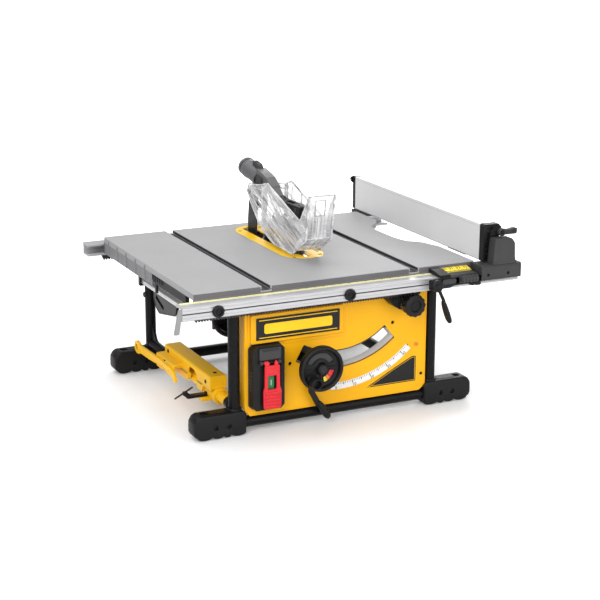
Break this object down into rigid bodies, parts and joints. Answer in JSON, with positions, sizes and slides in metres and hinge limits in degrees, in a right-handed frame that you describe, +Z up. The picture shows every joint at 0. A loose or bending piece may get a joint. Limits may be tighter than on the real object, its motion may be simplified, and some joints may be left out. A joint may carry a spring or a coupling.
{
  "type": "table saw",
  "caption": "Portable table saw with a tube cage, tilting and lifting blade unit, rack-driven fence rails and a swinging clear blade guard.",
  "frame": {"origin": "centre of the four base bolt holes, on the plane the feet stand on", "axes": "+X to the operator's right, along the rails and the blade spindle; +Y from the operator to the back; +Z up"},
  "size_m": [0.8155, 0.685, 0.5001],
  "materials": {
    "table_grey": "satin light-grey coated cast aluminium, machined top",
    "yellow_plastic": "fine-textured moulded yellow",
    "yellow_plate": "yellow powder coat",
    "black_tube": "satin black powder coat",
    "black_plastic": "fine-textured moulded black",
    "dark_grey_plastic": "moulded dark grey",
    "label_black": "smooth label film",
    "label_white": "smooth label film",
    "label_yellow": "smooth label film",
    "rail_aluminium": "bright extruded",
    "fence_aluminium": "satin anodised",
    "steel": "ground",
    "cast_grey": "as cast",
    "blade_steel": "ground, carbide tipped",
    "knife_black": "black oxide",
    "motor_grey": "moulded motor casing",
    "copper_iron": "laminated rotor",
    "red_plastic": "moulded red",
    "green_plastic": "moulded green",
    "clear_plastic": "clear moulded polycarbonate",
    "cord_rubber": "rubber cable"
  },
  "bodies": {
    "root": {"table_top": "table_grey", "throat_plate": "yellow_plate", "front_panel": "yellow_plastic", "blank_plates": "label_black", "bevel_scale": "label_white", "slot_rim": "steel", "roll_cage": "black_tube", "feet": "dark_grey_plastic", "foot_screws": "steel", "rail_guides": "black_plastic", "scale_cover": "black_plastic", "knob_housing": "black_plastic", "trunnions": "cast_grey", "switch_box": "black_plastic", "storage_bracket": "yellow_plastic", "wrenches": "black_tube", "gauge_holder": "dark_grey_plastic", "power_cord": "cord_rubber"},
    "rails": {"front_rail": "rail_aluminium", "rear_rail": "rail_aluminium", "rail_racks": "steel", "rail_scale": "label_yellow", "locator_screws": "black_tube", "fence_carrier": "dark_grey_plastic", "rail_end_stop": "rail_aluminium"},
    "pinion": {"pinion_shaft": "steel", "rail_pinions": "steel", "adjust_knob": "black_plastic"},
    "rail_lock": {"rail_lock_lever": "black_plastic"},
    "fence": {"fence_beam": "fence_aluminium", "fence_head": "black_plastic", "fence_tail": "black_plastic"},
    "latch_front": {"fence_latch_front": "black_plastic"},
    "latch_rear": {"fence_latch_rear": "black_plastic"},
    "tilt_unit": {"tilt_bracket": "cast_grey", "lift_posts": "steel", "blade_shroud": "black_plastic"},
    "bevel_lock": {"bevel_lock_lever": "black_plastic"},
    "wheel": {"handwheel": "black_plastic", "wheel_axle": "steel"},
    "grip": {"crank_grip": "black_plastic"},
    "screw": {"lift_screw": "steel"},
    "lift_unit": {"lift_carriage": "cast_grey", "arbor_housing": "cast_grey", "motor_housing": "motor_grey", "riving_knife": "knife_black", "guard_arm": "dark_grey_plastic"},
    "motor_rotor": {"armature": "copper_iron"},
    "blade_spindle": {"arbor": "steel", "blade": "blade_steel", "blade_clamp": "steel"},
    "knife_clamp": {"knife_lock": "red_plastic"},
    "guard_link": {"shield_link": "knife_black"},
    "guard_left": {"shield_left": "clear_plastic"},
    "guard_right": {"shield_right": "clear_plastic"},
    "start": {"start_button": "green_plastic"},
    "stop": {"stop_paddle": "red_plastic"},
    "pusher": {"push_stick": "yellow_plastic"},
    "gauge_bar": {"mitre_bar": "steel"},
    "gauge_head": {"mitre_head": "black_plastic"}
  },
  "joints": [
    {"name": "rail_slide", "type": "slide", "parent": "root", "child": "rails", "axis": [1, 0, 0], "range_m": [0, 0.497]},
    {"name": "pinion_spin", "type": "hinge", "parent": "root", "child": "pinion", "pos_m": [0.1575, -0.311, 0.254], "axis": [0, 1, 0], "range_deg": [-10, 1400]},
    {"name": "rail_lock_swing", "type": "hinge", "parent": "root", "child": "rail_lock", "pos_m": [0.191, -0.358, 0.303], "axis": [0, -1, 0], "range_deg": [0, 50]},
    {"name": "fence_lift_off", "type": "slide", "parent": "rails", "child": "fence", "axis": [0, 0, 1], "range_m": [0, 0.12]},
    {"name": "front_latch_swing", "type": "hinge", "parent": "fence", "child": "latch_front", "pos_m": [0.3725, -0.319, 0.396], "axis": [0, -1, 0], "range_deg": [0, 85]},
    {"name": "rear_latch_swing", "type": "hinge", "parent": "fence", "child": "latch_rear", "pos_m": [0.3525, 0.315, 0.388], "axis": [0, -1, 0], "range_deg": [0, 85]},
    {"name": "bevel_tilt", "type": "hinge", "parent": "root", "child": "tilt_unit", "pos_m": [0.0045, -0.011, 0.33], "axis": [0, -1, 0], "range_deg": [0, 45]},
    {"name": "bevel_lock_swing", "type": "hinge", "parent": "tilt_unit", "child": "bevel_lock", "pos_m": [-0.0688, -0.278, 0.14392], "axis": [0, -1, 0], "range_deg": [0, 40]},
    {"name": "blade_lift", "type": "slide", "parent": "tilt_unit", "child": "lift_unit", "axis": [0, 0, 1], "range_m": [-0.06, 0]},
    {"name": "handwheel_turn", "type": "hinge", "parent": "tilt_unit", "child": "wheel", "pos_m": [-0.0688, -0.321, 0.14392], "axis": [0, 1, 0], "range_deg": [-4400, 60]},
    {"name": "crank_grip_spin", "type": "hinge", "parent": "wheel", "child": "grip", "pos_m": [-0.0908, -0.343, 0.11892], "axis": [0, 1, 0], "continuous": true},
    {"name": "lift_screw_turn", "type": "hinge", "parent": "tilt_unit", "child": "screw", "pos_m": [-0.0688, -0.196, 0.2], "axis": [0, 0, 1], "range_deg": [-4400, 60]},
    {"name": "motor_spin", "type": "hinge", "parent": "lift_unit", "child": "motor_rotor", "pos_m": [-0.1105, 0.049, 0.2621], "axis": [1, 0, 0], "continuous": true},
    {"name": "blade_spin", "type": "hinge", "parent": "lift_unit", "child": "blade_spindle", "pos_m": [0.0045, 0.019, 0.282], "axis": [1, 0, 0], "continuous": true},
    {"name": "knife_lock_swing", "type": "hinge", "parent": "lift_unit", "child": "knife_clamp", "pos_m": [0.0095, 0.179, 0.25], "axis": [1, 0, 0], "range_deg": [0, 70]},
    {"name": "guard_link_swing", "type": "hinge", "parent": "lift_unit", "child": "guard_link", "pos_m": [-0.0205, 0.139, 0.437], "axis": [-1, 0, 0], "range_deg": [-2, 26]},
    {"name": "left_shield_swing", "type": "hinge", "parent": "guard_link", "child": "guard_left", "pos_m": [-0.0255, 0.139, 0.437], "axis": [-1, 0, 0], "range_deg": [-2, 16]},
    {"name": "right_shield_swing", "type": "hinge", "parent": "lift_unit", "child": "guard_right", "pos_m": [0.0345, 0.139, 0.437], "axis": [-1, 0, 0], "range_deg": [-2, 26]},
    {"name": "start_press", "type": "slide", "parent": "root", "child": "start", "axis": [0, 1, 0], "range_m": [0, 0.003]},
    {"name": "stop_paddle_swing", "type": "hinge", "parent": "root", "child": "stop", "pos_m": [-0.1705, -0.288, 0.161], "axis": [-1, 0, 0], "range_deg": [-2, 60]},
    {"name": "push_stick_draw", "type": "slide", "parent": "root", "child": "pusher", "axis": [0, 1, 0], "range_m": [0, 0.15]},
    {"name": "gauge_draw", "type": "slide", "parent": "root", "child": "gauge_bar", "axis": [1, 0, 0], "range_m": [0, 0.04]},
    {"name": "gauge_head_turn", "type": "hinge", "parent": "gauge_bar", "child": "gauge_head", "pos_m": [-0.2885, 0.009, 0.2577], "axis": [1, 0, 0], "range_deg": [-45, 45]}
  ],
  "couplings": [
    {"joint": "pinion_spin", "follows": "rail_slide", "rad_per_m": 47.619},
    {"joint": "handwheel_turn", "follows": "blade_lift", "rad_per_m": 1256.6},
    {"joint": "lift_screw_turn", "follows": "blade_lift", "rad_per_m": 1256.6},
    {"joint": "blade_spin", "follows": "motor_spin", "ratio": -0.41176},
    {"joint": "guard_link_swing", "follows": "blade_lift", "rad_per_m": -6.98},
    {"joint": "right_shield_swing", "follows": "blade_lift", "rad_per_m": -6.98},
    {"joint": "left_shield_swing", "follows": "bevel_tilt", "ratio": 0.3333}
  ]
}
